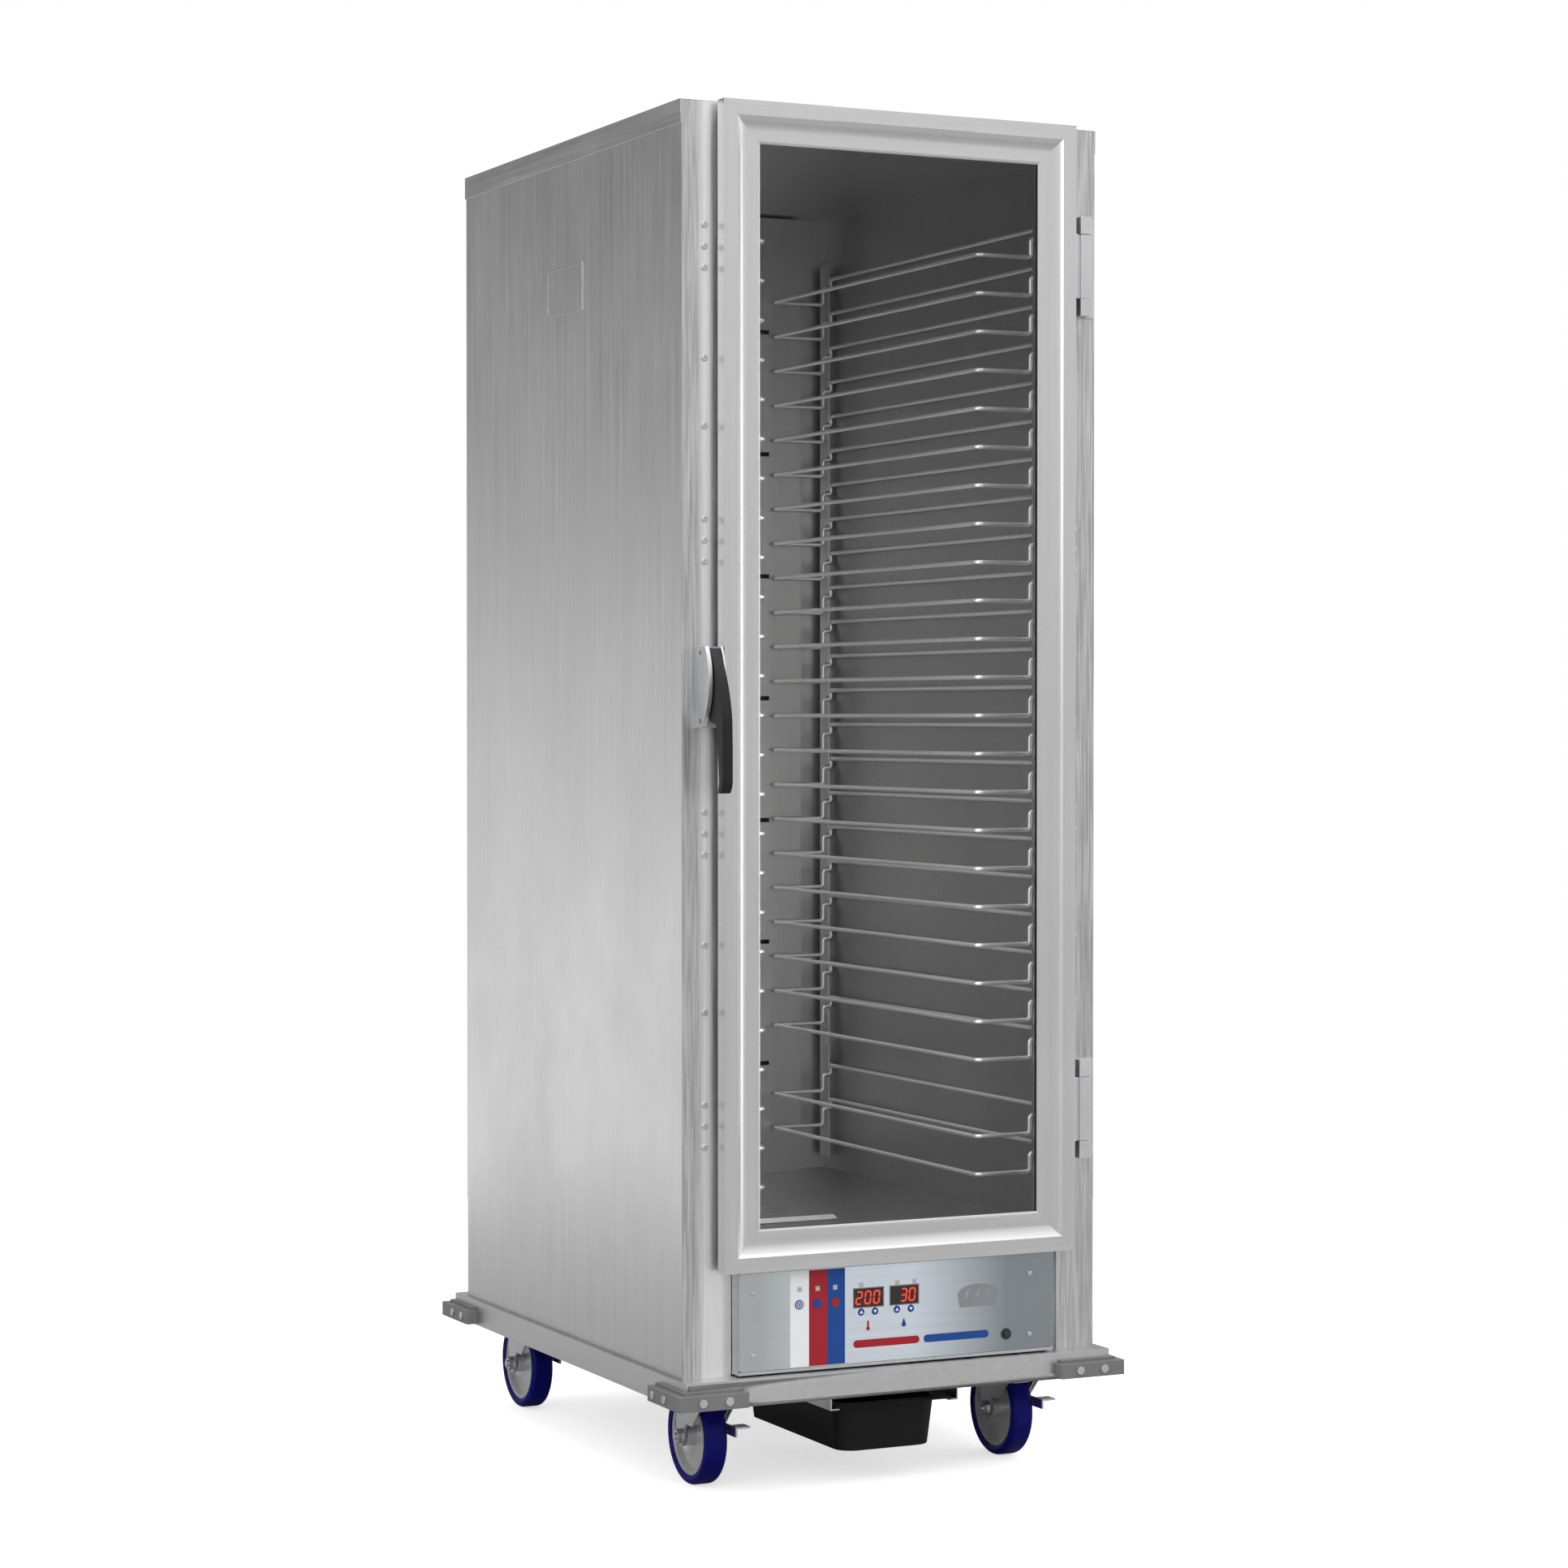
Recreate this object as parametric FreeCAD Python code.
"""Proofing cabinet on casters: one STEP file per sub-part, in millimetres.

+X is to the right of a person facing the door, +Y runs to the back, +Z is up. The floor is z = 0.
The cabinet is drawn about its own centre line and moved by SHIFT_Y on export, so that the row's
origin is the middle of the whole footprint, lever and bumpers included.
"""
import FreeCAD, Part
import math
import os

V = FreeCAD.Vector

# ---------------------------------------------------------------- driving dimensions
SHIFT_Y = 11.1          # puts the origin midway between the lever's front and the rear bumpers

HALF_W = 299.0          # outer side panels
HALF_D = 381.0          # front post faces and outer rear panel
BODY_Z0 = 159.0         # top of the base deck
BODY_TOP = 1769.5       # top of posts and panels, under the top cap
SKIN = 1.5              # outer sheet
LINER = 1.2             # inner sheet
POST_T = 2.0            # front post sheet

BASE_HALF_W = 307.0
BASE_HALF_D = 410.0
BASE_Z0 = 124.0
BASE_T = 3.0

FLANGE_Y = -376.0       # recessed gasket flange behind the door
FLANGE_X = 229.0        # inner edge of that flange
POST_INNER_X = 243.0    # step between the post's face and its flange
JAMB_Y = -360.0         # front edge of the liner
CAVITY_X = 256.0
CAVITY_BACK = 340.0
FLOOR_Z = 320.0
CEILING_Z = 1735.0
DUCT_X = 202.0
DUCT_Y = 309.0
DUCT_TOP = 1731.0

DOOR_X = 254.1
DOOR_FRONT = -410.9
DOOR_T = 19.7
DOOR_Z0 = 293.0
DOOR_Z1 = 1770.0
RAIL_W = 53.3           # width of a door rail's face

PITCH = 50.8            # two inches between pan positions
SLIDES = 25
TOP_SLIDE_Z = 1606.8
EMPTY_RIGHT = 22        # pan position with no slide on the right-hand rack
WIRE_R = 3.0
LEDGE_X = 155.0         # inner tray wire
RISER_X = 236.0
UPRIGHT_X = 243.0
SLIDE_FRONT = -321.0
SLIDE_BACK = 304.0
WELD_X = 231.0          # end of the ledge's straight leg, where the riser bend begins
GUIDE_X = 247.5
GUIDE_RISE = 38.1

SCREW_X = 268.0
SCREW_GROUP_Z = [1587.4 - 369.8 * j for j in range(4)]
HINGE_Z = [SCREW_GROUP_Z[0], SCREW_GROUP_Z[3]]
HINGE_H = 130.0
HINGE_PIN = (272.0, -398.0)
KNUCKLE = 17.0
KNUCKLE_END = 22.5
HINGE_PIN_R = 3.5
RUNNING = 0.05          # radial clearance of a running fit

LATCH_X0, LATCH_X1 = -281.5, -257.0
LATCH_WALL = 5.4
LEVER_X0, LEVER_X1 = -274.6, -260.2
LEVER_PIVOT = (-402.0, 1066.0)
LEVER_PIN_R = 3.0

CASTER_X = 225.2
CASTER_Y = 298.5
TRAIL = 35.5
WHEEL_R = 63.5
WHEEL_W = 32.0
AXLE_R = 5.0

PANEL_FRONT = -397.3
PANEL_T = 1.5
PANEL_X = 227.9
PANEL_Z0, PANEL_Z1 = 165.5, 290.0
MODULE_X = 228.4
MODULE_Z0, MODULE_Z1 = 161.0, 291.0
MODULE_BACK = 338.0
SHEET = 1.5

KEYS = {                 # name: (x, z, radius of the cap)
    "power_key": (-143.0, 246.0, 5.9),
    "heat_key": (-117.7, 246.0, 5.9),
    "proof_key": (-92.3, 246.0, 5.9),
    "temperature_up_key": (-54.7, 230.4, 4.6),
    "temperature_down_key": (-34.7, 230.4, 4.6),
    "humidity_up_key": (-3.0, 230.4, 4.6),
    "humidity_down_key": (17.3, 230.4, 4.6),
}
DISPLAYS = [(-65.2, -22.8), (-12.6, 28.2)]
DISPLAY_Z = (236.8, 260.6)
BREAKER = (158.0, 187.0)

BLOWER_C = (-230.0, 226.0)   # y, z of the blower's axis
BLOWER_X = (60.0, 104.0)

PAN_X = 88.0                 # half width of the drip pan's rim, a third-size food pan
PAN_Y = (-386.0, -61.0)
PAN_RIM_Z = 106.2
PAN_BOTTOM = 45.0


# ---------------------------------------------------------------- small helpers
def box(x0, x1, y0, y1, z0, z1):
    return Part.makeBox(x1 - x0, y1 - y0, z1 - z0, V(x0, y0, z0))


def rod(centre, axis, r, length):
    return Part.makeCylinder(r, length, V(*centre), V(*axis))


def hexagon(centre, axis, across, length):
    """Hexagonal prism from centre along axis; across is the distance over its flats."""
    prism = Part.Face(Part.makePolygon(hex_points(across))).extrude(V(0, 0, length))
    prism.rotate(V(0, 0, 0), *turn_from_z(axis))
    prism.translate(V(*centre))
    return prism


def hex_points(across):
    radius = across / math.sqrt(3)
    angles = [math.radians(60 * i) for i in range(7)]
    return [V(radius * math.cos(a), radius * math.sin(a), 0) for a in angles]


def turn_from_z(axis):
    """Axis and degrees of the turn that takes +Z to one of the six main directions."""
    turns = {(0, 0, 1): (V(1, 0, 0), 0), (0, 0, -1): (V(1, 0, 0), 180),
             (1, 0, 0): (V(0, 1, 0), 90), (-1, 0, 0): (V(0, 1, 0), -90),
             (0, 1, 0): (V(1, 0, 0), -90), (0, -1, 0): (V(1, 0, 0), 90)}
    return turns[axis]


def plate(points, axis, start, length):
    """Extrude a closed outline. axis is "x", "y" or "z"; points are the other two coordinates."""
    place = {"x": lambda a, b: V(start, a, b),
             "y": lambda a, b: V(a, start, b),
             "z": lambda a, b: V(a, b, start)}
    along = {"x": V(length, 0, 0), "y": V(0, length, 0), "z": V(0, 0, length)}
    corners = [place[axis](a, b) for a, b in points]
    face = Part.Face(Part.makePolygon(corners + corners[:1]))
    return face.extrude(along[axis])


def cut(shape, tools):
    return shape.cut(Part.makeCompound(tools)) if tools else shape


def fuse(shapes):
    return shapes[0].multiFuse(shapes[1:]).removeSplitter()


def mirrored(shape, normal):
    return shape.mirror(V(0, 0, 0), V(*normal))


def both_sides(shape):
    return [shape, mirrored(shape, (1, 0, 0))]


def export(node, solids):
    """Write one node: every solid in the list stays a separate solid."""
    parts = []
    for shape in solids:
        parts.extend(shape.Solids)
    group = Part.makeCompound(parts) if len(parts) > 1 else parts[0]
    group.translate(V(0, SHIFT_Y, 0))
    os.makedirs("parts", exist_ok=True)
    group.exportStep(f"parts/{node}.step")
    print(f"{node:24s} solids {len(parts):3d}  volume {sum(p.Volume for p in parts) / 1000:10.1f} cm3")


def wire_tube(points, radius, bend):
    """Round wire along straight runs joined by tangent arcs of the given bend radius."""
    pts = [V(*p) for p in points]
    edges = []
    start = pts[0]
    for before, corner, after in zip(pts, pts[1:], pts[2:]):
        into = (before - corner).normalize()
        out = (after - corner).normalize()
        half = math.acos(max(-1.0, min(1.0, into.dot(out)))) / 2
        reach = bend / math.tan(half)
        a = corner + into * reach
        b = corner + out * reach
        middle = corner + (into + out).normalize() * (bend / math.sin(half) - bend)
        edges.append(Part.makeLine(start, a))
        edges.append(Part.Arc(a, middle, b).toShape())
        start = b
    edges.append(Part.makeLine(start, pts[-1]))
    path = Part.Wire(edges)
    direction = (pts[1] - pts[0]).normalize()
    section = Part.Wire([Part.makeCircle(radius, pts[0], direction)])
    return path.makePipeShell([section], True, False)


# ---------------------------------------------------------------- base and bumpers
def bumper_bolts():
    """Centres of the bumper bolts at the +X +Y corner, each with the direction it points in."""
    across = [(x, BASE_HALF_D + BUMPER_T, BUMPER_BOLT_Z, (0, -1, 0)) for x in (254.0, 290.5)]
    along = [(BASE_HALF_W + BUMPER_T, y, BUMPER_BOLT_Z, (-1, 0, 0)) for y in (343.1, 379.1)]
    return across + along


BUMPER_T = 16.0
BUMPER_Z = (126.0, 145.0)
BUMPER_LIP_Z = 149.0
BUMPER_LEG = (98.0, 104.0)
BUMPER_BOLT_Z = 136.0
BUMPER_BOLT_R = 3.0
CASTER_BOLT_R = 4.0
CASTER_HOLES = [(sx * 36.5, sy * 24.0) for sx in (-1, 1) for sy in (-1, 1)]


def four_corners(shape):
    """Copies of a piece drawn at the +X +Y corner."""
    right = [shape, mirrored(shape, (0, 1, 0))]
    return right + [mirrored(s, (1, 0, 0)) for s in right]


def base_frame():
    deck = box(-BASE_HALF_W, BASE_HALF_W, -BASE_HALF_D, BASE_HALF_D, BODY_Z0 - BASE_T, BODY_Z0)
    holes = []
    for sx in (-1, 1):
        for sy in (-1, 1):
            for hx, hy in CASTER_HOLES:
                centre = (sx * CASTER_X + hx, sy * CASTER_Y + hy, BODY_Z0 - 2 * BASE_T)
                holes.append(rod(centre, (0, 0, 1), CASTER_BOLT_R + 0.3, 3 * BASE_T))
    deck = cut(deck, holes)
    top = BODY_Z0 - BASE_T
    side = box(BASE_HALF_W - BASE_T, BASE_HALF_W, -BASE_HALF_D, BASE_HALF_D, BASE_Z0, top)
    end = box(-BASE_HALF_W + BASE_T, BASE_HALF_W - BASE_T, BASE_HALF_D - BASE_T, BASE_HALF_D, BASE_Z0, top)
    bolt_holes = []
    for x, y, z, axis in bumper_bolts():
        hole = rod((x, y, z), axis, BUMPER_BOLT_R + 0.2, BUMPER_T + 2 * BASE_T)
        bolt_holes.extend(four_corners(hole))
    side = cut(side, bolt_holes)
    end = cut(end, bolt_holes)
    return [deck] + both_sides(side) + [end, mirrored(end, (0, 1, 0))]


def corner_bumpers():
    """Four L-shaped bumpers with a lip that rises against the base."""
    x1, y1 = BASE_HALF_W + BUMPER_T, BASE_HALF_D + BUMPER_T
    leg_x, leg_y = BUMPER_LEG
    outline = [(x1, y1), (x1 - leg_x, y1), (x1 - leg_x, BASE_HALF_D), (BASE_HALF_W, BASE_HALF_D),
               (BASE_HALF_W, y1 - leg_y), (x1, y1 - leg_y)]
    body = plate(outline, "z", BUMPER_Z[0], BUMPER_Z[1] - BUMPER_Z[0])
    corner_edges = [e for e in body.Edges
                    if vertical(e) and e.CenterOfMass.x > x1 - 1 and e.CenterOfMass.y > y1 - 1]
    end_edges = [e for e in body.Edges if vertical(e) and outer_end(e, x1, y1)]
    body = body.makeFillet(5.0, corner_edges + end_edges)
    lip_t = 6.0
    lip_outline = [(BASE_HALF_W + lip_t, BASE_HALF_D + lip_t), (x1 - leg_x + lip_t, BASE_HALF_D + lip_t),
                   (x1 - leg_x + lip_t, BASE_HALF_D), (BASE_HALF_W, BASE_HALF_D),
                   (BASE_HALF_W, y1 - leg_y + lip_t), (BASE_HALF_W + lip_t, y1 - leg_y + lip_t)]
    lip = plate(lip_outline, "z", BUMPER_Z[1] - 1, BUMPER_LIP_Z - BUMPER_Z[1] + 1)
    bumper = fuse([body, lip])
    holes = [rod((x, y, z), axis, BUMPER_BOLT_R + 0.1, BUMPER_T) for x, y, z, axis in bumper_bolts()]
    return four_corners(cut(bumper, holes))


def vertical(edge):
    box_ = edge.BoundBox
    return box_.ZLength > 1 and box_.XLength < 1e-6 and box_.YLength < 1e-6


def outer_end(edge, x1, y1):
    """True for the outer corner edge at the end of either bumper leg."""
    c = edge.CenterOfMass
    across_end = abs(c.y - y1) < 1e-3 and c.x < x1 - 50
    along_end = abs(c.x - x1) < 1e-3 and c.y < y1 - 50
    return across_end or along_end


def base_bolts():
    """Round-headed bumper bolts, and the hex bolts that hold the caster plates."""
    bolts = []
    for x, y, z, axis in bumper_bolts():
        head = rod((x - 1.8 * axis[0], y - 1.8 * axis[1], z), axis, 5.6, 1.8)
        shank = rod((x, y, z), axis, BUMPER_BOLT_R, BUMPER_T + BASE_T)
        bolts.extend(four_corners(fuse([head, shank])))
    for hx, hy in CASTER_HOLES:
        x, y = CASTER_X + hx, CASTER_Y + hy
        head = hexagon((x, y, CASTER_PLATE_Z[0] - 5), (0, 0, 1), 13, 5)
        shank = rod((x, y, CASTER_PLATE_Z[0] - 1), (0, 0, 1), CASTER_BOLT_R, BODY_Z0 - CASTER_PLATE_Z[0] + 1)
        bolts.extend(four_corners(fuse([head, shank])))
    return bolts


# ---------------------------------------------------------------- casters
CASTER_PLATE_Z = (152.0, 156.0)
RACEWAY_Z = 138.0
CROWN_Z = (130.0, 135.0)
KINGPIN_R = 6.0
FORK_IN = 21.0
FORK_OUT = 24.0
BRAKE_PIVOT = (-20.0, 112.0)     # y from the swivel axis, z
BRAKE_PIN_R = 3.0
ARM_X = (17.2, 19.7)             # brake arm, between the wheel's side and the fork's leg


def caster_plate():
    """Top plate, raceway and kingpin with its flange, drawn about the swivel axis."""
    top = box(-47.5, 47.5, -33.5, 33.5, *CASTER_PLATE_Z)
    holes = [rod((x, y, CASTER_PLATE_Z[0] - 1), (0, 0, 1), CASTER_BOLT_R + 0.3, 6) for x, y in CASTER_HOLES]
    raceway = Part.makeCone(24.5, 20.0, CASTER_PLATE_Z[0] - RACEWAY_Z, V(0, 0, RACEWAY_Z), V(0, 0, 1))
    kingpin = rod((0, 0, CROWN_Z[0] - 6), (0, 0, 1), KINGPIN_R, RACEWAY_Z - CROWN_Z[0] + 7)
    foot = rod((0, 0, CROWN_Z[0] - 6), (0, 0, 1), 10.0, 5)
    return fuse([cut(top, holes), raceway, kingpin, foot])


def fork():
    """Crown and two legs; the axle bolt and nut are separate solids of the same node."""
    crown = rod((0, 0, CROWN_Z[0]), (0, 0, 1), 25.0, CROWN_Z[1] - CROWN_Z[0])
    bridge = box(-FORK_OUT, FORK_OUT, 0, TRAIL + 6, *CROWN_Z)
    crown = fuse([crown, bridge])
    crown = crown.cut(rod((0, 0, CROWN_Z[0] - 1), (0, 0, 1), KINGPIN_R + RUNNING, 8))
    outline = [(-30, CROWN_Z[1]), (-31, 112), (0, 81), (18, 82), (22.5, 76), (22.5, WHEEL_R), (30, 51),
               (41, 51), (48.5, WHEEL_R), (48.5, 100), (TRAIL + 6, CROWN_Z[1])]
    leg = plate(outline, "x", FORK_IN, FORK_OUT - FORK_IN)
    leg = leg.cut(rod((FORK_IN - 1, TRAIL, WHEEL_R), (1, 0, 0), AXLE_R + RUNNING, 6))
    leg = leg.cut(rod((FORK_IN - 1, *BRAKE_PIVOT), (1, 0, 0), BRAKE_PIN_R + RUNNING, 6))
    body = fuse([crown, leg, mirrored(leg, (1, 0, 0))])
    shaft = rod((-FORK_OUT - 9, TRAIL, WHEEL_R), (1, 0, 0), AXLE_R, 2 * FORK_OUT + 9)
    head = hexagon((FORK_OUT, TRAIL, WHEEL_R), (1, 0, 0), 17, 6)
    axle = fuse([shaft, head])
    nut = hexagon((-FORK_OUT, TRAIL, WHEEL_R), (-1, 0, 0), 17, 6.5)
    nut = nut.cut(rod((-FORK_OUT + 1, TRAIL, WHEEL_R), (-1, 0, 0), AXLE_R, 9))
    return [body, axle, nut]


def wheel():
    """Core with hub, web and rim, and a tread moulded round it, centred on the axle."""
    half = WHEEL_W / 2
    core_outline = [(AXLE_R + RUNNING, -19), (13, -19), (13, -5), (44, -3.5), (46, -13), (51.5, -13),
                    (51.5, 13), (46, 13), (44, 3.5), (13, 5), (13, 19), (AXLE_R + RUNNING, 19)]
    core = spin(core_outline)
    edge = 7.0
    tread = spin_arcs(51.5, WHEEL_R, half, edge)
    return [core, tread]


def spin(outline):
    """Turn a closed (radius, x) outline about the X axis."""
    points = [V(x, 0, r) for r, x in outline]
    face = Part.Face(Part.makePolygon(points + points[:1]))
    return face.revolve(V(0, 0, 0), V(1, 0, 0), 360)


def spin_arcs(r_in, r_out, half, edge):
    """Tread ring with rounded shoulders."""
    lines = [Part.makeLine(V(-half, 0, r_out - edge), V(-half + 1.5, 0, r_in)),
             Part.makeLine(V(-half + 1.5, 0, r_in), V(half - 1.5, 0, r_in)),
             Part.makeLine(V(half - 1.5, 0, r_in), V(half, 0, r_out - edge))]
    bow = edge * (1 - math.sqrt(0.5))
    right = Part.Arc(V(half, 0, r_out - edge), V(half - bow, 0, r_out - bow),
                     V(half - edge, 0, r_out)).toShape()
    flat = Part.makeLine(V(half - edge, 0, r_out), V(-half + edge, 0, r_out))
    left = Part.Arc(V(-half + edge, 0, r_out), V(-half + bow, 0, r_out - bow),
                    V(-half, 0, r_out - edge)).toShape()
    face = Part.Face(Part.Wire(lines + [right, flat, left]))
    return face.revolve(V(0, 0, 0), V(1, 0, 0), 360)


def brake():
    """Cross pin, barrel and shoe over the wheel, with an arm beside the wheel that ends in a foot tab."""
    y, z = BRAKE_PIVOT
    pin = rod((-FORK_OUT - 1, y, z), (1, 0, 0), BRAKE_PIN_R, 2 * FORK_OUT + 2)
    barrel = rod((-14, y, z), (1, 0, 0), 5.5, 14 + ARM_X[1])
    shoe = box(-12, 12, y - 2, y + 5, z - 7, z)
    arm = plate([(-26, 117), (-26, 109), (-13, 95), (-8, 88), (-12, 85), (-46, 85), (-46, 72), (-4, 72),
                 (2, 80), (-3, 96), (-14, 110), (-14, 117)], "x", ARM_X[0], ARM_X[1] - ARM_X[0])
    tab = box(ARM_X[0], 38, -46, -26, 82.5, 85)
    return [fuse([pin, barrel, shoe, arm, tab])]


def at_caster(solids, sx, sy):
    moved = [s.copy() for s in solids]
    for s in moved:
        s.translate(V(sx * CASTER_X, sy * CASTER_Y, 0))
    return moved


# ---------------------------------------------------------------- body shell
def side_panel():
    return box(HALF_W - SKIN, HALF_W, -HALF_D + POST_T, HALF_D - SKIN, BODY_Z0, BODY_TOP)


def rear_panel():
    """Outer back sheet with a cut-out for the power inlet and two rows of vent slots."""
    sheet = box(-HALF_W, HALF_W, HALF_D - SKIN, HALF_D, BODY_Z0, BODY_TOP)
    tools = [box(*INLET_X, HALF_D - 2 * SKIN, HALF_D + 1, *INLET_Z)]
    for row in range(2):
        for i in range(9):
            x = -20 + 22 * i
            z = 200 + 30 * row
            tools.append(box(x, x + 14, HALF_D - 2 * SKIN, HALF_D + 1, z, z + 5))
    return cut(sheet, tools)


INLET_X = (-178.0, -130.0)
INLET_Z = (206.0, 234.0)


def top_cap():
    """Sheet over the whole top, folded down outside the side and rear panels."""
    outer = box(-HALF_W - SKIN, HALF_W + SKIN, -HALF_D, HALF_D + SKIN, 1740, BODY_TOP + SKIN)
    inner = box(-HALF_W, HALF_W, -HALF_D - 1, HALF_D, 1739, BODY_TOP)
    return outer.cut(inner)


def post_screw_heights(side):
    """Heights of the screws seen on one front post; those behind the hinges and latch are left out."""
    heights = []
    for j, z in enumerate(SCREW_GROUP_Z):
        behind_hinge = side > 0 and j in (0, 3)
        if not behind_hinge:
            heights.extend([z - 26.9, z, z + 26.9])
        if j < 3:
            behind_latch = side < 0 and j == 1
            if not behind_latch:
                heights.extend([z - 140.5, z - 226.0])
    return heights


def front_post(side):
    """Folded post: face, step, gasket flange, jamb return and an outer return behind the side panel."""
    f, t = -HALF_D, POST_T
    outline = [(HALF_W, f), (POST_INNER_X, f), (POST_INNER_X, FLANGE_Y), (FLANGE_X, FLANGE_Y),
               (FLANGE_X, JAMB_Y), (CAVITY_X, JAMB_Y), (CAVITY_X, JAMB_Y - t), (FLANGE_X + t, JAMB_Y - t),
               (FLANGE_X + t, FLANGE_Y + t), (POST_INNER_X + t, FLANGE_Y + t), (POST_INNER_X + t, f + t),
               (HALF_W - SKIN - 2.1, f + t), (HALF_W - SKIN - 2.1, f + 30), (HALF_W - SKIN - 0.1, f + 30),
               (HALF_W - SKIN - 0.1, f + t), (HALF_W, f + t)]
    post = plate(outline, "z", BODY_Z0, BODY_TOP - BODY_Z0)
    holes = [rod((SCREW_X, f - 1, z), (0, 1, 0), 2.1, 5) for z in post_screw_heights(side)]
    post = cut(post, holes)
    return post if side > 0 else mirrored(post, (1, 0, 0))


def front_rails():
    """Header over the cavity and sill under it; the door gasket closes on both."""
    t = POST_T
    header = plate([(FLANGE_Y, CEILING_Z), (FLANGE_Y, BODY_TOP), (FLANGE_Y + t, BODY_TOP),
                    (FLANGE_Y + t, CEILING_Z + t), (JAMB_Y, CEILING_Z + t), (JAMB_Y, CEILING_Z)],
                   "x", -FLANGE_X, 2 * FLANGE_X)
    sill = plate([(FLANGE_Y, 292), (FLANGE_Y, FLOOR_Z), (JAMB_Y, FLOOR_Z), (JAMB_Y, FLOOR_Z - t),
                  (FLANGE_Y + t, FLOOR_Z - t), (FLANGE_Y + t, 292)],
                 "x", -FLANGE_X, 2 * FLANGE_X)
    return [header, sill]


def inner_liner():
    """Two sides, back and ceiling of the cavity."""
    side = box(CAVITY_X, CAVITY_X + LINER, JAMB_Y, CAVITY_BACK + LINER, FLOOR_Z, CEILING_Z)
    rear = box(-CAVITY_X, CAVITY_X, CAVITY_BACK, CAVITY_BACK + LINER, FLOOR_Z, CEILING_Z)
    top = box(-CAVITY_X - LINER, CAVITY_X + LINER, JAMB_Y, CAVITY_BACK + LINER, CEILING_Z, CEILING_Z + LINER)
    return both_sides(side) + [rear, top]


def insulation():
    """Glass-fibre slabs between the liner and the outer sheets."""
    gap = CAVITY_X + LINER
    side = box(gap, HALF_W - SKIN - 0.1, -348, HALF_D - SKIN, 322, CEILING_Z)
    rear = box(-gap, gap, CAVITY_BACK + LINER, HALF_D - SKIN, 322, CEILING_Z)
    top = box(-290, 290, -348, 375, CEILING_Z + LINER, BODY_TOP)
    return both_sides(side) + [rear, top]


COVER_X = (-190.0, 17.0)
COVER_Y = (-187.0, 140.0)


def cabinet_floor():
    """Cavity floor: an opening for the humidity pan, one for the rear duct, and return-air holes.

    The sheet is laid in four strips round the pan's opening.
    """
    x0, x1, y0, y1 = COVER_X[0] + 12, COVER_X[1] - 12, COVER_Y[0] + 12, COVER_Y[1] - 12
    z0, z1 = FLOOR_Z - SHEET, FLOOR_Z
    strips = [box(-CAVITY_X, CAVITY_X, JAMB_Y, y0, z0, z1), box(-CAVITY_X, CAVITY_X, y1, CAVITY_BACK, z0, z1),
              box(-CAVITY_X, x0, y0, y1, z0, z1), box(x1, CAVITY_X, y0, y1, z0, z1)]
    tools = [box(-DUCT_X + 10, DUCT_X - 10, DUCT_Y + 6, CAVITY_BACK - 6, FLOOR_Z - 5, FLOOR_Z + 5)]
    for i in range(7):
        for j in range(4):
            tools.append(rod((60 + 16 * i, -300 + 16 * j, FLOOR_Z - 5), (0, 0, 1), 3.0, 10))
    return [cut(strip, tools) for strip in strips]


def air_duct_panel():
    """Raised duct on the cavity's back wall, with slots that let the warm air out."""
    t = LINER
    outer = box(-DUCT_X, DUCT_X, DUCT_Y, CAVITY_BACK, FLOOR_Z, DUCT_TOP)
    inner = box(-DUCT_X + t, DUCT_X - t, DUCT_Y + t, CAVITY_BACK + 1, FLOOR_Z - 1, DUCT_TOP - t)
    shell = outer.cut(inner)
    slots = []
    for row in range(7):
        for x in (-150.0, -70.0, 10.0, 90.0):
            z = 480 + 180 * row
            slots.append(box(x, x + 60, DUCT_Y - 1, DUCT_Y + 3, z, z + 6))
    return cut(shell, slots)


# ---------------------------------------------------------------- rack
def slide_heights():
    return [TOP_SLIDE_Z - PITCH * k for k in range(SLIDES)]


def rack_upright(y_edge, y_wall):
    """Angle on the side wall whose inner leg is notched for the slides' hooks."""
    z0, z1 = FLOOR_Z + 20, TOP_SLIDE_Z + 60
    y0, y1 = min(y_edge, y_wall), max(y_edge, y_wall)
    leg = box(UPRIGHT_X - 1, UPRIGHT_X + 1, y0, y1, z0, z1)
    foot_y = y_wall - 2 if y_wall > y_edge else y_wall
    foot = box(UPRIGHT_X - 1, CAVITY_X, foot_y, foot_y + 2, z0, z1)
    upright = fuse([leg, foot])
    notches = []
    for z in slide_heights():
        centre = SLIDE_BACK if y_wall > 0 else SLIDE_FRONT
        notches.append(box(UPRIGHT_X - 2, UPRIGHT_X + 2, centre - 9, centre + 4.2, z + 20.0, z + 29.0)
                       if y_wall > 0 else
                       box(UPRIGHT_X - 2, UPRIGHT_X + 2, centre - 4.2, centre + 9, z + 20.0, z + 29.0))
    return cut(upright, notches)


def rack_uprights():
    rear = rack_upright(SLIDE_BACK - 6, SLIDE_BACK + 22)
    front = rack_upright(SLIDE_FRONT + 6, SLIDE_FRONT - 20)
    return both_sides(rear) + both_sides(front)


def slide_wires():
    """One wire slide at height zero: the pan ledge, and the wall side that hooks on the uprights."""
    f, b = SLIDE_FRONT, SLIDE_BACK
    ledge = wire_tube([(WELD_X, f, 0), (LEDGE_X, f, 0), (LEDGE_X, b, 0), (WELD_X, b, 0)], WIRE_R, 9.0)
    end_rise = [(WELD_X, 0), (RISER_X, 0), (RISER_X, 24.5), (GUIDE_X + 2.5, 24.5), (GUIDE_X, GUIDE_RISE)]
    route = [(x, f, z) for x, z in end_rise] + [(x, b, z) for x, z in reversed(end_rise)]
    wall_side = wire_tube(route, WIRE_R, 4.5)
    return [ledge, wall_side]


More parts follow.
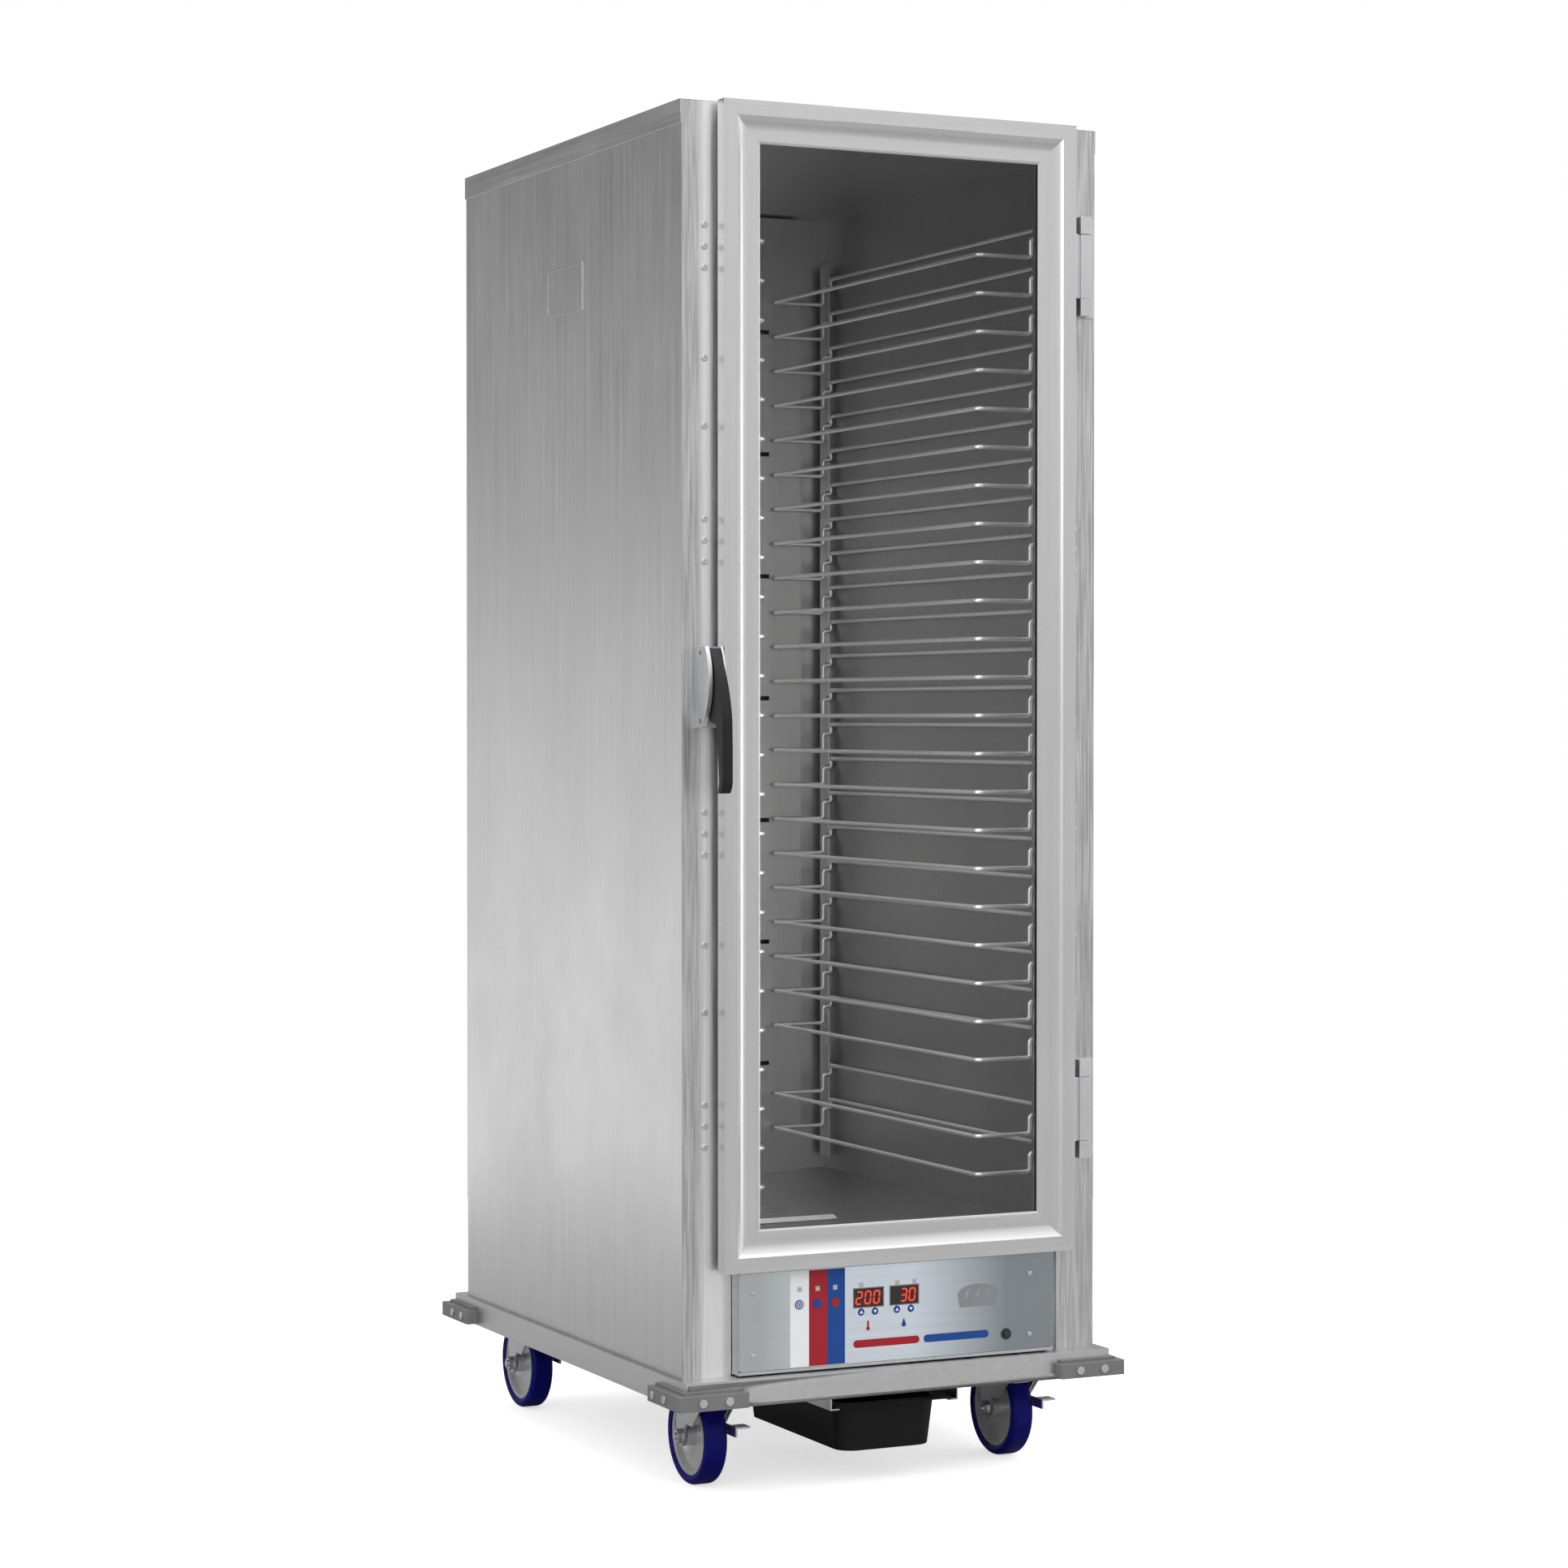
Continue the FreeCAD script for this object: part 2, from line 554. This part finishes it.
def wire_slides(side):
    solids = []
    base = slide_wires()
    if side < 0:
        base = [mirrored(s, (1, 0, 0)) for s in base]
    for k, z in enumerate(slide_heights()):
        if side > 0 and k == EMPTY_RIGHT:
            continue
        for s in base:
            copy = s.copy()
            copy.translate(V(0, 0, z))
            solids.append(copy)
    return solids


# ---------------------------------------------------------------- door
GLASS_DEPTH = 9.4
GLASS_T = 5.0
GROOVE = 42.0


def rail_section():
    """Door rail outline as (distance in from the outer edge, depth behind the front face)."""
    flat_end, cove_end, cove_depth, inner_end = 19.2, 38.2, 6.8, 49.1
    edges = [line2((0, 0), (flat_end, 0)),
             Part.Arc(v2(flat_end, 0), v2(27.0, 5.1), v2(cove_end, cove_depth)).toShape(),
             line2((cove_end, cove_depth), (inner_end, cove_depth)),
             line2((inner_end, cove_depth), (RAIL_W, GLASS_DEPTH - 0.8)),
             line2((RAIL_W, GLASS_DEPTH - 0.8), (RAIL_W, GLASS_DEPTH)),
             line2((RAIL_W, GLASS_DEPTH), (GROOVE, GLASS_DEPTH)),
             line2((GROOVE, GLASS_DEPTH), (GROOVE, GLASS_DEPTH + GLASS_T)),
             line2((GROOVE, GLASS_DEPTH + GLASS_T), (RAIL_W, GLASS_DEPTH + GLASS_T)),
             line2((RAIL_W, GLASS_DEPTH + GLASS_T), (RAIL_W, DOOR_T)),
             line2((RAIL_W, DOOR_T), (0, DOOR_T)),
             line2((0, DOOR_T), (0, 0))]
    return Part.Face(Part.Wire(edges))


def v2(u, v):
    return V(-u, v, 0)


def line2(a, b):
    return Part.makeLine(v2(*a), v2(*b))


def stile_blank(length):
    """Hollow extrusion along Z with its outer front corner on the origin, face towards -Y."""
    hollow = plate([(-2.5, 2.5), (-17.0, 2.5), (-34.0, 9.5), (-38.0, 9.5), (-38.0, DOOR_T - 2.5),
                    (-2.5, DOOR_T - 2.5)], "z", 0, length)
    return rail_section().extrude(V(0, 0, length)).cut(hollow)


def mitred(length):
    """Blank cut at 45 degrees at both ends."""
    keep = plate([(0, 0), (-RAIL_W, RAIL_W), (-RAIL_W, length - RAIL_W), (0, length)], "y", -1, DOOR_T + 2)
    return stile_blank(length).common(keep)


def door_frame():
    stile = mitred(DOOR_Z1 - DOOR_Z0)
    stile.translate(V(DOOR_X, DOOR_FRONT, DOOR_Z0))
    rail = mitred(2 * DOOR_X)
    rail.rotate(V(0, 0, 0), V(0, 1, 0), -90)
    rail.translate(V(DOOR_X, DOOR_FRONT, DOOR_Z1))
    lower = rail.copy()
    lower.translate(V(0, 0, -(DOOR_Z0 + DOOR_Z1) / 2))
    lower = mirrored(lower, (0, 0, 1))
    lower.translate(V(0, 0, (DOOR_Z0 + DOOR_Z1) / 2))
    return both_sides(stile) + [rail, lower]


def door_window():
    edge = GROOVE + 0.1
    y = DOOR_FRONT + GLASS_DEPTH
    return box(-DOOR_X + edge, DOOR_X - edge, y + 0.05, y + GLASS_T - 0.05, DOOR_Z0 + edge, DOOR_Z1 - edge)


def door_gasket():
    """Four mitred strips of soft gasket on the back of the door."""
    y0 = DOOR_FRONT + DOOR_T
    depth = FLANGE_Y - 0.2 - y0
    x, z0, z1, w = 242.0, 304.0, 1759.0, 12.0
    stile = plate([(x, z0), (x - w, z0 + w), (x - w, z1 - w), (x, z1)], "y", y0, depth)
    top = plate([(-x, z1), (x, z1), (x - w, z1 - w), (-x + w, z1 - w)], "y", y0, depth)
    bottom = plate([(-x, z0), (x, z0), (x - w, z0 + w), (-x + w, z0 + w)], "y", y0, depth)
    return both_sides(stile) + [top, bottom]


def name_plate():
    """Blank plate on the flat of the top rail."""
    return box(-101.0, 103.0, DOOR_FRONT - 0.8, DOOR_FRONT, DOOR_Z1 - 19.0, DOOR_Z1 - 0.3)


def door_strike():
    """Thin steel plate on the door's edge, beside the latch."""
    return box(-DOOR_X - 1.6, -DOOR_X, -408, -394, 1000, 1065)


# ---------------------------------------------------------------- hinges and latch
def cabinet_hinge(z_mid):
    """Leaf on the post with two end knuckles, and the pin as its own solid."""
    px, py = HINGE_PIN
    half, end = HINGE_H / 2, KNUCKLE_END
    leaf = box(262, 297, -HALF_D - 3, -HALF_D, z_mid - half, z_mid + half)
    solids = [leaf]
    for z0 in (z_mid - half, z_mid + half - end):
        knuckle = box(px - KNUCKLE / 2, px + KNUCKLE / 2, py - KNUCKLE / 2, -HALF_D - 3, z0, z0 + end)
        solids.append(knuckle)
    body = fuse(solids)
    body = body.cut(rod((px, py, z_mid - half - 1), (0, 0, 1), HINGE_PIN_R + RUNNING, HINGE_H + 2))
    pin = rod((px, py, z_mid - half + 1), (0, 0, 1), HINGE_PIN_R, HINGE_H - 2)
    return [body, pin]


def door_hinge_half(z_mid):
    """Middle knuckle bridged to a plate on the door's edge."""
    px, py = HINGE_PIN
    half = HINGE_H / 2 - KNUCKLE_END - 0.5
    knuckle = box(px - KNUCKLE / 2 + 1, px + KNUCKLE / 2 - 1, py - KNUCKLE / 2 + 1, py + KNUCKLE / 2 - 1,
                  z_mid - half, z_mid + half)
    bridge = box(DOOR_X, px - KNUCKLE / 2 + 2, py - 5, py + 5, z_mid - half, z_mid + half)
    edge_plate = box(DOOR_X, DOOR_X + 2.5, DOOR_FRONT + 1, DOOR_FRONT + DOOR_T - 1,
                     z_mid - half, z_mid + half)
    body = fuse([knuckle, bridge, edge_plate])
    return body.cut(rod((px, py, z_mid - half - 1), (0, 0, 1), HINGE_PIN_R + RUNNING, 2 * half + 2))


def cheek_outline():
    """Side of the latch housing: flat back on the post, bowed front."""
    back = -HALF_D
    edges = [Part.makeLine(V(0, back, 1083.4), V(0, -412.0, 1083.4)),
             Part.Arc(V(0, -412.0, 1083.4), V(0, -424.0, 1042.0), V(0, -416.0, 1002.0)).toShape(),
             Part.makeLine(V(0, -416.0, 1002.0), V(0, -404.5, 983.5)),
             Part.Arc(V(0, -404.5, 983.5), V(0, -403.0, 982.0), V(0, -401.0, 981.7)).toShape(),
             Part.makeLine(V(0, -401.0, 981.7), V(0, back, 981.7)),
             Part.makeLine(V(0, back, 981.7), V(0, back, 1083.4))]
    return Part.Face(Part.Wire(edges))


def latch_housing():
    """U-shaped housing open at the front, top and bottom, with the lever's pin through both cheeks."""
    face = cheek_outline()
    body = face.extrude(V(LATCH_X1 - LATCH_X0, 0, 0))
    body.translate(V(LATCH_X0, 0, 0))
    slot = box(LATCH_X0 + LATCH_WALL, LATCH_X1 - 2.6, -440, -HALF_D - 5, 970, 1090)
    body = body.cut(slot)
    y, z = LEVER_PIVOT
    body = body.cut(rod((LATCH_X0 - 1, y, z), (1, 0, 0), LEVER_PIN_R, LATCH_X1 - LATCH_X0 + 2))
    holes = []
    for hz in (989.8, 1075.4):
        for dz in (-1.0, 1.0):
            holes.append(rod((LATCH_X0 - 1, -398.0, hz + dz), (1, 0, 0), 2.2, LATCH_WALL + 2))
    body = cut(body, [fuse(holes[:2]), fuse(holes[2:])])
    pin = rod((LATCH_X0, y, z), (1, 0, 0), LEVER_PIN_R, LATCH_X1 - LATCH_X0)
    return [body, pin]


def latch_lever():
    """Long curved lever hung from a pin near its top, with a deep web inside the housing."""
    y, z = LEVER_PIVOT
    front = [Part.Arc(V(0, -409.0, 1081.5), V(0, -436.0, 1037.0), V(0, -449.0, 990.0)).toShape(),
             Part.makeLine(V(0, -449.0, 990.0), V(0, -450.0, 955.0)),
             Part.makeLine(V(0, -450.0, 955.0), V(0, -450.0, 918.0)),
             Part.Arc(V(0, -450.0, 918.0), V(0, -448.0, 907.0), V(0, -443.0, 899.7)).toShape(),
             Part.makeLine(V(0, -443.0, 899.7), V(0, -435.0, 899.7)),
             Part.makeLine(V(0, -435.0, 899.7), V(0, -439.0, 914.0)),
             Part.makeLine(V(0, -439.0, 914.0), V(0, -435.0, 953.0)),
             Part.makeLine(V(0, -435.0, 953.0), V(0, -430.6, 979.0)),
             Part.makeLine(V(0, -430.6, 979.0), V(0, -428.0, 985.5)),
             Part.makeLine(V(0, -428.0, 985.5), V(0, -411.0, 990.0)),
             Part.makeLine(V(0, -411.0, 990.0), V(0, -398.0, 1030.0)),
             Part.makeLine(V(0, -398.0, 1030.0), V(0, -394.0, 1058.0)),
             Part.Arc(V(0, -394.0, 1058.0), V(0, -391.0, 1067.0), V(0, -394.0, 1074.0)).toShape(),
             Part.makeLine(V(0, -394.0, 1074.0), V(0, -402.0, 1081.5)),
             Part.makeLine(V(0, -402.0, 1081.5), V(0, -409.0, 1081.5))]
    body = Part.Face(Part.Wire(front)).extrude(V(LEVER_X1 - LEVER_X0, 0, 0))
    body.translate(V(LEVER_X0, 0, 0))
    return body.cut(rod((LEVER_X0 - 1, y, z), (1, 0, 0), LEVER_PIN_R + RUNNING, LEVER_X1 - LEVER_X0 + 2))


def screw(x, z, y_face, r_head, shank):
    """Pan-head screw pointing back into the cabinet."""
    head = rod((x, y_face, z), (0, -1, 0), r_head, 2.2)
    head = head.makeFillet(0.9, [e for e in head.Edges if e.BoundBox.YMax < y_face - 2.0])
    recess = [box(x - 2.2, x + 2.2, y_face - 3, y_face - 1.2, z - 0.5, z + 0.5),
              box(x - 0.5, x + 0.5, y_face - 3, y_face - 1.2, z - 2.2, z + 2.2)]
    body = rod((x, y_face - 0.5, z), (0, 1, 0), 2.0, shank)
    return fuse([head, body]).cut(fuse(recess))


PANEL_SCREWS = [(-207.6, 264.3), (-207.6, 184.4), (193.1, 264.3), (193.1, 184.4)]


def pan_head_screws():
    solids = []
    for side in (-1, 1):
        for z in post_screw_heights(side):
            solids.append(screw(side * SCREW_X, z, -HALF_D, 4.2, 10))
    for x, z in PANEL_SCREWS:
        solids.append(screw(x, z, PANEL_FRONT, 3.2, 8))
    return solids


# ---------------------------------------------------------------- control module
def control_housing():
    """Sheets welded at their edges into a box that is open at the front."""
    front = PANEL_FRONT + PANEL_T
    t = SHEET
    inner = MODULE_X - t
    bottom = box(-MODULE_X, MODULE_X, front, MODULE_BACK, MODULE_Z0, MODULE_Z0 + t)
    lip = box(-MODULE_X, MODULE_X, PANEL_FRONT, front, MODULE_Z0, PANEL_Z0 - 0.5)
    side = box(inner, MODULE_X, front, MODULE_BACK, MODULE_Z0 + t, MODULE_Z1 - t)
    back = box(-inner, inner, MODULE_BACK - t, MODULE_BACK, MODULE_Z0 + t, MODULE_Z1 - t)
    back = back.cut(box(*INLET_X, MODULE_BACK - 5, MODULE_BACK + 5, *INLET_Z))
    top = box(-MODULE_X, MODULE_X, front, MODULE_BACK, MODULE_Z1 - t, MODULE_Z1)
    x0, x1, y0, y1 = COVER_X[0] + 8, COVER_X[1] - 8, COVER_Y[0] + 8, COVER_Y[1] - 8
    top = cut(top, [box(-DUCT_X + 10, DUCT_X - 10, DUCT_Y + 6, MODULE_BACK - 8, MODULE_Z1 - 5, MODULE_Z1 + 5),
                    box(50, 170, -310, -240, MODULE_Z1 - 5, MODULE_Z1 + 5)])
    strips = [box(-MODULE_X, MODULE_X, front, y0, MODULE_Z0, MODULE_Z1),
              box(-MODULE_X, MODULE_X, y1, MODULE_BACK, MODULE_Z0, MODULE_Z1),
              box(-MODULE_X, x0, y0, y1, MODULE_Z0, MODULE_Z1),
              box(x1, MODULE_X, y0, y1, MODULE_Z0, MODULE_Z1)]
    tops = [top.common(strip) for strip in strips]
    return [fuse([bottom, lip]), back] + tops + both_sides(side)


def control_panel():
    sheet = box(-PANEL_X, PANEL_X, PANEL_FRONT, PANEL_FRONT + PANEL_T, PANEL_Z0, PANEL_Z1)
    upright = [e for e in sheet.Edges if e.BoundBox.YLength > 1 and e.BoundBox.XLength < 1e-6
               and e.BoundBox.ZLength < 1e-6]
    sheet = sheet.makeFillet(4.0, upright)
    tools = [rod((x, PANEL_FRONT - 1, z), (0, 1, 0), r + 0.25, 5) for x, z, r in KEYS.values()]
    tools += [rod((x, PANEL_FRONT - 1, z), (0, 1, 0), 2.1, 5) for x, z in PANEL_SCREWS]
    tools += [box(x0, x1, PANEL_FRONT - 1, PANEL_FRONT + 3, *DISPLAY_Z) for x0, x1 in DISPLAYS]
    tools.append(rod((BREAKER[0], PANEL_FRONT - 1, BREAKER[1]), (0, 1, 0), 6.0, 5))
    return cut(sheet, tools)


def display_windows():
    """Two dark windows with the digit modules behind them."""
    gap = 0.1
    solids = []
    for x0, x1 in DISPLAYS:
        solids.append(box(x0 + gap, x1 - gap, PANEL_FRONT - 0.3, PANEL_FRONT + 8,
                          DISPLAY_Z[0] + gap, DISPLAY_Z[1] - gap))
    return solids


BOARD_Y = -384.0


def control_board():
    """Printed board behind the keys, with a switch under each key, a transformer and a relay."""
    board = box(-165, 45, BOARD_Y, BOARD_Y + 1.6, 205, 282)
    switches = [box(x - 3, x + 3, BOARD_Y - 2.0, BOARD_Y, z - 3, z + 3) for x, z, r in KEYS.values()]
    blocks = [box(-150, -105, BOARD_Y + 1.6, BOARD_Y + 32, 212, 232),
              box(-85, -60, BOARD_Y + 1.6, BOARD_Y + 18, 210, 222)]
    return fuse([board] + switches + blocks)


KEY_PROUD = 0.8


def key(x, z, r):
    """Cap that stands a little proud of the panel, on a stem that ends just above its switch."""
    cap = rod((x, PANEL_FRONT - KEY_PROUD, z), (0, 1, 0), r, 3.2)
    rim = [e for e in cap.Edges if e.BoundBox.YMax < PANEL_FRONT - KEY_PROUD + 0.01]
    cap = cap.makeFillet(0.3, rim)
    stem_end = BOARD_Y - 2.0 - 0.7
    stem = rod((x, PANEL_FRONT, z), (0, 1, 0), 2.0, stem_end - PANEL_FRONT)
    return fuse([cap, stem])


def circuit_breaker():
    """Threaded bushing through the panel with the breaker body behind it."""
    x, z = BREAKER
    bushing = rod((x, PANEL_FRONT - 1.2, z), (0, 1, 0), 5.9, 12)
    bezel = rod((x, PANEL_FRONT - 1.2, z), (0, 1, 0), 7.4, 1.2)
    body = box(x - 14, x + 14, PANEL_FRONT + 10, PANEL_FRONT + 42, z - 10, z + 10)
    return fuse([bushing, bezel, body]).cut(rod((x, PANEL_FRONT - 2, z), (0, 1, 0), 4.3, 10))


def breaker_button():
    x, z = BREAKER
    button = rod((x, PANEL_FRONT - 3.6, z), (0, 1, 0), 4.2, 8.5)
    rim = [e for e in button.Edges if e.BoundBox.YMax < PANEL_FRONT - 3.5]
    return button.makeFillet(0.8, rim)


def blower_housing():
    """Scroll round the blower wheel, with a side inlet and an outlet to the back."""
    y, z = BLOWER_C
    x0, x1 = BLOWER_X
    wall = 1.5
    r = 55.0
    outlet = box(x0 - 4, x1 + 4, y, y + 80, z + 12, z + r)
    body = fuse([rod((x0 - 4, y, z), (1, 0, 0), r, x1 - x0 + 8), outlet])
    hollow = fuse([rod((x0 - 4 + wall, y, z), (1, 0, 0), r - wall, x1 - x0 + 8 - 2 * wall),
                   box(x0 - 4 + wall, x1 + 4 - wall, y, y + 81, z + 12 + wall, z + r - wall)])
    shell = body.cut(hollow)
    shell = shell.cut(rod((x0 - 6, y, z), (1, 0, 0), 32.0, 6))
    shell = shell.cut(rod((x1, y, z), (1, 0, 0), 12.0, 8))
    foot = box(x0, x1, y - 20, y + 20, MODULE_Z0 + SHEET, z - r + 3)
    return fuse([shell, foot])


def blower_motor():
    y, z = BLOWER_C
    x1 = BLOWER_X[1] + 4
    can = rod((x1, y, z), (1, 0, 0), 33.0, 55)
    shaft = rod((x1 - 38, y, z), (1, 0, 0), 4.0, 40)
    foot = box(x1 + 8, x1 + 46, y - 22, y + 22, MODULE_Z0 + SHEET, z - 25)
    return fuse([can, shaft, foot])


def blower_wheel():
    """Squirrel-cage wheel: back disc, hub, blades and front ring."""
    y, z = BLOWER_C
    x0, x1 = BLOWER_X
    disc = rod((x1 - 4, y, z), (1, 0, 0), 46, 2.5)
    hub = rod((x1 - 24, y, z), (1, 0, 0), 10, 22)
    ring = rod((x0 + 2, y, z), (1, 0, 0), 46, 3).cut(rod((x0, y, z), (1, 0, 0), 36, 8))
    blades = []
    for i in range(24):
        blade = box(x0 + 3, x1 - 3, -0.8, 0.8, 37, 45)
        blade.rotate(V(0, 0, 41), V(1, 0, 0), 35)
        blade.rotate(V(0, 0, 0), V(1, 0, 0), 15 * i)
        blade.translate(V(0, y, z))
        blades.append(blade)
    wheel_ = fuse([disc, hub, ring] + blades)
    return wheel_.cut(rod((x1 - 30, y, z), (1, 0, 0), 4.0 + RUNNING, 40))


def air_heater():
    """Hairpin heating rod with square fins, in the blower's outlet stream."""
    y0, y1, z, x0, x1 = -120.0, 250.0, 250.0, 60.0, 110.0
    tube = wire_tube([(x0, y0, z), (x0, y1, z), (x1, y1, z), (x1, y0, z)], 4.0, 18.0)
    fins = [box(x0 - 12, x1 + 12, y0 + 30 + 12 * i, y0 + 30.8 + 12 * i, z - 14, z + 14) for i in range(24)]
    brackets = [box(x0 - 12, x1 + 12, y, y + 2, MODULE_Z0 + SHEET, z + 10) for y in (y0 + 12, y1 - 30)]
    return fuse([tube] + fins + brackets)


def humidity_pan():
    """Water pan hung in the floor opening, with its raised slotted cover as a second solid."""
    x0, x1 = COVER_X[0] + 14, COVER_X[1] - 14
    y0, y1 = COVER_Y[0] + 14, COVER_Y[1] - 14
    t = 1.2
    rim = box(COVER_X[0] + 3, COVER_X[1] - 3, COVER_Y[0] + 3, COVER_Y[1] - 3, FLOOR_Z, FLOOR_Z + t)
    pan = fuse([rim, box(x0, x1, y0, y1, 262, FLOOR_Z + t)])
    pan = pan.cut(box(x0 + t, x1 - t, y0 + t, y1 - t, 262 + t, FLOOR_Z + 5))
    lid_z = FLOOR_Z + t
    lid = Part.makeWedge(COVER_X[0], lid_z, -COVER_Y[1], -COVER_Y[1] + 5, COVER_X[0] + 5,
                         COVER_X[1], lid_z + 5.5, -COVER_Y[0], -COVER_Y[0] - 5, COVER_X[1] - 5)
    lid.rotate(V(0, 0, 0), V(1, 0, 0), 90)
    hollow = box(COVER_X[0] + 6, COVER_X[1] - 6, COVER_Y[0] + 6, COVER_Y[1] - 6, lid_z - 1, lid_z + 4.3)
    slots = []
    for i in range(8):
        y = COVER_Y[0] + 60 + 28 * i
        slots.append(box(-150, -25, y, y + 6, lid_z, lid_z + 8))
    return [pan, cut(lid, [hollow] + slots)]


def power_inlet():
    """Flanged inlet on the back; the supply lead is not part of the cabinet."""
    x0, x1 = INLET_X
    z0, z1 = INLET_Z
    body = box(x0 + 0.3, x1 - 0.3, MODULE_BACK - 12, HALF_D + 1, z0 + 0.3, z1 - 0.3)
    flange = box(x0 - 6, x1 + 6, HALF_D, HALF_D + 2.5, z0 - 4, z1 + 4)
    socket = box(x0 + 11, x1 - 11, HALF_D - 16, HALF_D + 4, z0 + 5, z1 - 5)
    pins = [box(x - 1, x + 1, HALF_D - 18, HALF_D - 9, 217, 223) for x in (-161, -154, -147)]
    return fuse([fuse([body, flange]).cut(socket)] + pins)


# ---------------------------------------------------------------- drip pan
def rounded_block(half_x, y0, y1, z0, z1, r):
    block = box(-half_x, half_x, y0, y1, z0, z1)
    return block.makeFillet(r, [e for e in block.Edges if vertical(e)])


def drip_pan():
    """Food-pan shape: wide rim, and a body with large corners that narrows to its floor."""
    y0, y1 = PAN_Y
    rim = rounded_block(PAN_X, y0, y1, PAN_RIM_Z, PAN_RIM_Z + 2.5, 14)
    wall = 2.5
    outer = pan_loft(0.0)
    inner = pan_loft(wall)
    return fuse([rim, outer]).cut(inner)


def pan_loft(inset):
    y0, y1 = PAN_Y
    top_z = PAN_RIM_Z + 2.5 + (1 if inset else 0)
    top = rounded_rectangle(73 - inset, y0 + 14 + inset, y1 - 14 - inset, top_z, 24 - inset)
    low = rounded_rectangle(67 - inset, y0 + 20 + inset, y1 - 20 - inset, PAN_BOTTOM + inset, 24 - inset)
    return Part.makeLoft([low, top], True, True)


def rounded_rectangle(half_x, y0, y1, z, r):
    edges = []
    corners = [(half_x - r, y1 - r, 0), (-half_x + r, y1 - r, 90),
               (-half_x + r, y0 + r, 180), (half_x - r, y0 + r, 270)]
    ends = []
    for cx, cy, start in corners:
        pts = []
        for turn in (0, 45, 90):
            a = math.radians(start + turn)
            pts.append(V(cx + r * math.cos(a), cy + r * math.sin(a), z))
        ends.append((pts[0], pts[2]))
        edges.append(Part.Arc(*pts).toShape())
    for (_, a), (b, _) in zip(ends, ends[1:] + ends[:1]):
        edges.append(Part.makeLine(a, b))
    return Part.Wire(Part.__sortEdges__(edges))


def pan_rails():
    """Two lipped rails under the deck that carry the drip pan's rim."""
    x1 = PAN_X + 5
    outline = [(x1, BODY_Z0 - BASE_T), (x1, 104), (x1 - 13, 104), (x1 - 13, 106), (x1 - 2, 106),
               (x1 - 2, BODY_Z0 - BASE_T)]
    rail = plate(outline, "y", PAN_Y[0], PAN_Y[1] - PAN_Y[0] + 20)
    return both_sides(rail)


# ---------------------------------------------------------------- write every node
def main():
    export("base_frame", base_frame())
    export("corner_bumpers", corner_bumpers())
    export("base_bolts", base_bolts())
    export("left_side_panel", [mirrored(side_panel(), (1, 0, 0))])
    export("right_side_panel", [side_panel()])
    export("rear_panel", [rear_panel()])
    export("top_cap", [top_cap()])
    export("front_posts", [front_post(-1), front_post(1)])
    export("front_rails", front_rails())
    export("inner_liner", inner_liner())
    export("insulation", insulation())
    export("cabinet_floor", cabinet_floor())
    export("air_duct_panel", [air_duct_panel()])
    export("rack_uprights", rack_uprights())
    export("left_wire_slides", wire_slides(-1))
    export("right_wire_slides", wire_slides(1))
    export("pan_head_screws", pan_head_screws())

    export("door_frame", door_frame())
    export("door_window", [door_window()])
    export("door_gasket", door_gasket())
    export("name_plate", [name_plate()])
    export("door_strike", [door_strike()])
    export("door_hinge_halves", [door_hinge_half(z) for z in HINGE_Z])
    export("cabinet_hinge_halves", cabinet_hinge(HINGE_Z[0]) + cabinet_hinge(HINGE_Z[1]))
    export("latch_housing", latch_housing())
    export("latch_lever", [latch_lever()])

    export("control_housing", control_housing())
    export("control_panel", [control_panel()])
    export("display_windows", display_windows())
    export("control_board", [control_board()])
    for name, (x, z, r) in KEYS.items():
        export(name, [key(x, z, r)])
    export("circuit_breaker", [circuit_breaker()])
    export("breaker_button", [breaker_button()])
    export("blower_housing", [blower_housing()])
    export("blower_motor", [blower_motor()])
    export("blower_wheel", [blower_wheel()])
    export("air_heater", [air_heater()])
    export("humidity_pan", humidity_pan())
    export("power_inlet", [power_inlet()])
    export("pan_rails", pan_rails())
    export("drip_pan", [drip_pan()])

    plates = []
    casters = (("front_left", -1, -1), ("front_right", 1, -1), ("rear_left", -1, 1), ("rear_right", 1, 1))
    for label, sx, sy in casters:
        plates.extend(at_caster([caster_plate()], sx, sy))
        export(f"{label}_fork", at_caster(fork(), sx, sy))
        turned = wheel()
        for s in turned:
            s.translate(V(0, TRAIL, WHEEL_R))
        export(f"{label}_wheel", at_caster(turned, sx, sy))
        export(f"{label}_brake", at_caster(brake(), sx, sy))
    export("caster_plates", plates)


main()
